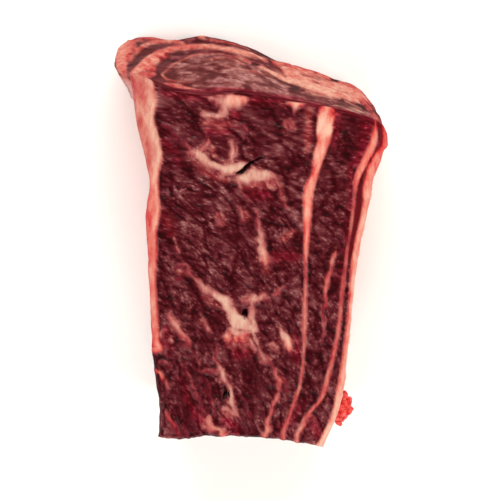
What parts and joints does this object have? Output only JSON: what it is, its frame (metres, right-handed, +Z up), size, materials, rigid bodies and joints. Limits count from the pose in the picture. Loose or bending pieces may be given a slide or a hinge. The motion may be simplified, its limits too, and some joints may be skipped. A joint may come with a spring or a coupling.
{
  "type": "braising beef rib",
  "caption": "Boneless block of raw beef short rib for braising, lying on a cut face: dark red marbled muscle with fat along the bone side, a fat seam and an outer fat layer.",
  "frame": {"origin": "on the surface that the block lies on, under the middle of its box", "axes": "+Z up, from the lower cut face to the marbled upper cut face; +Y along the block, towards its wider end; +X from the bone side to the outer fat"},
  "size_m": [0.0728, 0.1044, 0.0449],
  "materials": {
    "muscle": "raw lean beef, dark maroon with diagonal fibres, moist and glossy",
    "seam_fat": "soft intermuscular fat, salmon pink to cream, moist",
    "bone_side_fat": "bone side fat, salmon pink and redder on its outer side, moist",
    "outer_fat": "outer fat under a thin skin, orange pink, moist",
    "minced_scrap": "bright red minced scrap, moist"
  },
  "bodies": {
    "root": {"bone_side_fat": "bone_side_fat", "rib_muscle": "muscle", "fat_seam": "seam_fat", "outer_muscle": "muscle", "fat_line": "seam_fat", "cap_muscle": "muscle", "outer_fat": "outer_fat", "meat_scrap": "minced_scrap"}
  },
  "joints": []
}
